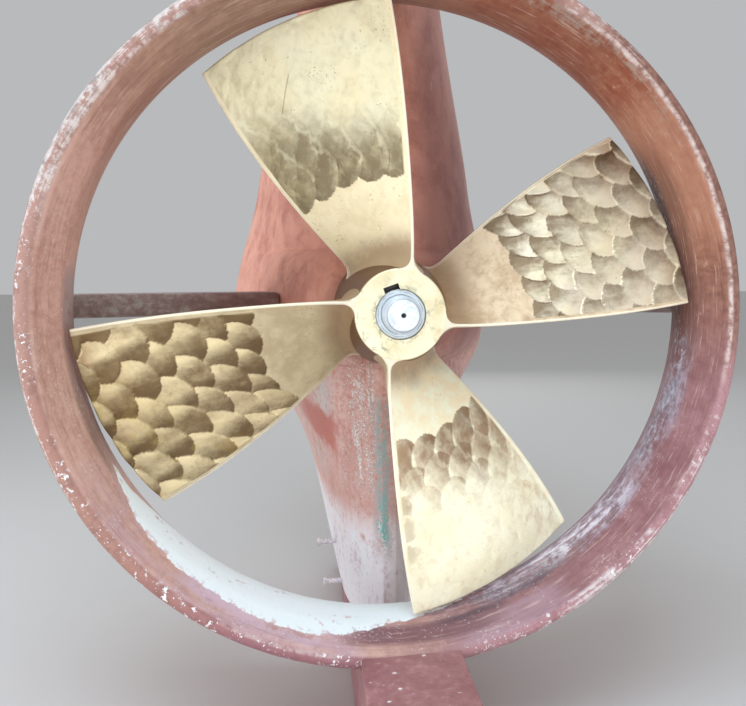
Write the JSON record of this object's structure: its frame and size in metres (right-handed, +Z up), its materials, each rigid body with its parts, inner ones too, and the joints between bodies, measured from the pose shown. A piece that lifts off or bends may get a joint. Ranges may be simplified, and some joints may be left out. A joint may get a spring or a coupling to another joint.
{
  "type": "ducted ship propeller",
  "caption": "Square-tipped ship propeller on a tapered tail shaft inside a ring nozzle, carried by a stern boss and skeg with side struts and a sole piece.",
  "frame": {"origin": "centre of the hull seat, the flat top face of the upper skeg", "axes": "+Y forward along the shaft, +Z up, +X to starboard"},
  "size_m": [1.2492, 1.35, 1.37],
  "materials": {
    "cast_bronze": "ground and lightly tarnished",
    "ground_steel": "turned bright",
    "key_steel": "milled",
    "nozzle_paint": "faded red-brown bottom paint, scratched",
    "skeg_paint": "faded salmon bottom paint with a pale wash",
    "stud_steel": "dull",
    "bearing_bronze": "dull"
  },
  "bodies": {
    "stern": {"nozzle_tail_bar_top": "nozzle_paint", "nozzle_tail_bar_port": "nozzle_paint", "nozzle_tail_bar_bottom": "nozzle_paint", "nozzle_tail_bar_starboard": "nozzle_paint", "nozzle_inner_plate_top": "nozzle_paint", "nozzle_inner_plate_port": "nozzle_paint", "nozzle_inner_plate_bottom": "nozzle_paint", "nozzle_inner_plate_starboard": "nozzle_paint", "nozzle_nose_top": "nozzle_paint", "nozzle_nose_port": "nozzle_paint", "nozzle_nose_bottom": "nozzle_paint", "nozzle_nose_starboard": "nozzle_paint", "nozzle_outer_plate_top": "nozzle_paint", "nozzle_outer_plate_port": "nozzle_paint", "nozzle_outer_plate_bottom": "nozzle_paint", "nozzle_outer_plate_starboard": "nozzle_paint", "skeg_upper": "skeg_paint", "stern_boss": "skeg_paint", "skeg_lower": "skeg_paint", "stern_tube": "skeg_paint", "stern_bearing": "bearing_bronze", "strut_port": "nozzle_paint", "strut_starboard": "nozzle_paint", "sole_piece": "nozzle_paint", "head_box": "nozzle_paint", "anode_stud_port_upper": "stud_steel", "anode_stud_port_lower": "stud_steel", "anode_stud_starboard_upper": "stud_steel", "anode_stud_starboard_lower": "stud_steel"},
    "propeller_shaft": {"propeller": "cast_bronze", "tail_shaft": "ground_steel", "shaft_key": "key_steel"}
  },
  "joints": [
    {"name": "shaft", "type": "hinge", "parent": "stern", "child": "propeller_shaft", "pos_m": [0, -0.475, -0.65965], "axis": [0, -1, 0], "continuous": true}
  ]
}
